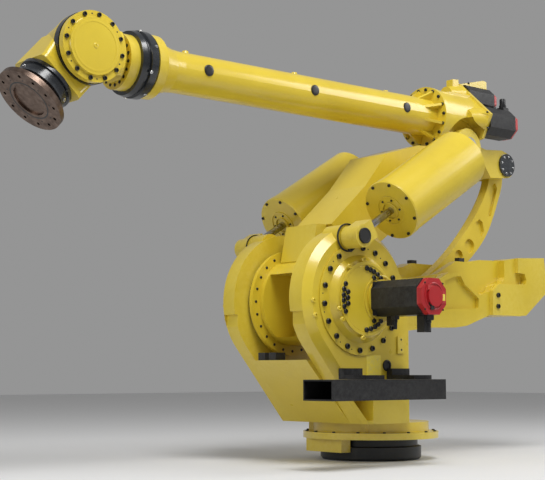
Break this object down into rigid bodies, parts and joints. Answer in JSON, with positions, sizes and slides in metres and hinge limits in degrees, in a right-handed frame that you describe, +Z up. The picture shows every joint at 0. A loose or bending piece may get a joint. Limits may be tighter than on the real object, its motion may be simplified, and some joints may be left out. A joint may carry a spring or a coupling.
{
  "type": "industrial robot arm",
  "caption": "Large floor-mounted six-axis robot arm with parallel-link counterweight, twin balancer cylinders, long forearm and bent wrist with a round tool flange.",
  "frame": {"origin": "centre of the base ring's flat underside, on the floor", "axes": "+X forward, the way the forearm points; +Y the robot's left; +Z up along the turning axis"},
  "size_m": [3.8259, 1.624, 2.3934],
  "materials": {
    "yellow_paint": "gloss",
    "dark_paint": "satin",
    "tube_steel": "satin",
    "motor_black": "satin",
    "motor_red": "satin",
    "black_rubber": "matt",
    "drive_black": "gloss",
    "pin_steel": "machined",
    "rod_chrome": "polished",
    "flange_bronze": "machined"
  },
  "bodies": {
    "base": {"base_ring": "dark_paint"},
    "turret": {"turning_plate": "yellow_paint", "stop_block": "yellow_paint", "turret_foot": "yellow_paint", "left_wall": "yellow_paint", "right_wall": "yellow_paint", "left_drive_cover": "yellow_paint", "right_drive_cover": "yellow_paint", "left_shoulder_motor": "motor_black", "right_shoulder_motor": "motor_black", "left_motor_cap": "motor_red", "right_motor_cap": "motor_red", "left_lift_tube": "tube_steel", "left_tube_brackets": "tube_steel", "front_bumpers": "black_rubber", "reducer_ring": "drive_black"},
    "lower_arm": {"lower_arm": "yellow_paint"},
    "elbow_shaft": {"elbow_shaft": "pin_steel"},
    "lever": {"counterweight_lever": "yellow_paint", "counterweight": "yellow_paint", "lever_bumpers": "black_rubber"},
    "lever_pin": {"lever_pin": "pin_steel"},
    "link": {"link": "yellow_paint"},
    "forearm": {"elbow_casing": "yellow_paint", "link_covers": "drive_black", "motor_plate": "yellow_paint", "elbow_motors": "motor_black", "elbow_motor_caps": "motor_red", "forearm_tube": "yellow_paint"},
    "wrist": {"roll_ring": "drive_black", "wrist_neck": "yellow_paint", "wrist_cover": "yellow_paint"},
    "hand": {"bend_ring": "drive_black", "hand": "yellow_paint", "hand_ring": "drive_black"},
    "tool": {"tool_flange": "flange_bronze"},
    "left_rod": {"left_rod": "rod_chrome", "left_rod_end": "yellow_paint"},
    "left_barrel": {"left_barrel": "yellow_paint"},
    "right_rod": {"right_rod": "rod_chrome", "right_rod_end": "yellow_paint"},
    "right_barrel": {"right_barrel": "yellow_paint"}
  },
  "joints": [
    {"name": "turret_turn", "type": "hinge", "parent": "base", "child": "turret", "pos_m": [0, 0, 0.12], "axis": [0, 0, 1], "range_deg": [-165, 165]},
    {"name": "arm_swing", "type": "hinge", "parent": "turret", "child": "lower_arm", "pos_m": [0.447, 0, 0.887], "axis": [0, 1, 0], "range_deg": [-10, 100]},
    {"name": "elbow_shaft_turn", "type": "hinge", "parent": "lower_arm", "child": "elbow_shaft", "pos_m": [-0.71924, 0, 1.88659], "axis": [0, 1, 0], "range_deg": [-100, 10]},
    {"name": "forearm_tilt", "type": "hinge", "parent": "elbow_shaft", "child": "forearm", "pos_m": [-0.71924, 0, 1.88659], "axis": [0, 1, 0], "range_deg": [-28, 10]},
    {"name": "lever_swing", "type": "hinge", "parent": "turret", "child": "lever", "pos_m": [0.447, 0, 0.887], "axis": [0, 1, 0], "range_deg": [-28, 10]},
    {"name": "lever_pin_turn", "type": "hinge", "parent": "lever", "child": "lever_pin", "pos_m": [0, 0, 0.829], "axis": [0, 1, 0], "range_deg": [-10, 28]},
    {"name": "link_swing", "type": "hinge", "parent": "lever_pin", "child": "link", "pos_m": [0, 0, 0.829], "axis": [0, 1, 0], "range_deg": [-10, 100]},
    {"name": "left_rod_swing", "type": "hinge", "parent": "turret", "child": "left_rod", "pos_m": [0.55, 0.444, 1.213], "axis": [0, 1, 0], "range_deg": [-12.8, 128]},
    {"name": "left_barrel_slide", "type": "slide", "parent": "left_rod", "child": "left_barrel", "axis": [-0.8554, 0, 0.518], "range_m": [-0.12, 0.012]},
    {"name": "right_rod_swing", "type": "hinge", "parent": "turret", "child": "right_rod", "pos_m": [0.55, -0.444, 1.213], "axis": [0, 1, 0], "range_deg": [-12.8, 128]},
    {"name": "right_barrel_slide", "type": "slide", "parent": "right_rod", "child": "right_barrel", "axis": [-0.8554, 0, 0.518], "range_m": [-0.12, 0.012]},
    {"name": "wrist_roll", "type": "hinge", "parent": "forearm", "child": "wrist", "pos_m": [1.64209, 0, 2.04316], "axis": [0.9999, 0, -0.0122], "range_deg": [-360, 360]},
    {"name": "wrist_bend", "type": "hinge", "parent": "wrist", "child": "hand", "pos_m": [2.04706, 0, 2.03822], "axis": [0, 1, 0], "range_deg": [-167.5, 72.5]},
    {"name": "tool_spin", "type": "hinge", "parent": "hand", "child": "tool", "pos_m": [2.28701, 0, 1.76984], "axis": [0.6665, 0, -0.7455], "range_deg": [-360, 360]}
  ],
  "couplings": [
    {"joint": "elbow_shaft_turn", "follows": "arm_swing", "ratio": -1},
    {"joint": "lever_swing", "follows": "forearm_tilt", "ratio": 1},
    {"joint": "lever_pin_turn", "follows": "forearm_tilt", "ratio": -1},
    {"joint": "link_swing", "follows": "arm_swing", "ratio": 1},
    {"joint": "left_rod_swing", "follows": "arm_swing", "ratio": 1.28},
    {"joint": "left_barrel_slide", "follows": "arm_swing", "m_per_rad": -0.068755},
    {"joint": "right_rod_swing", "follows": "arm_swing", "ratio": 1.28},
    {"joint": "right_barrel_slide", "follows": "arm_swing", "m_per_rad": -0.068755}
  ]
}
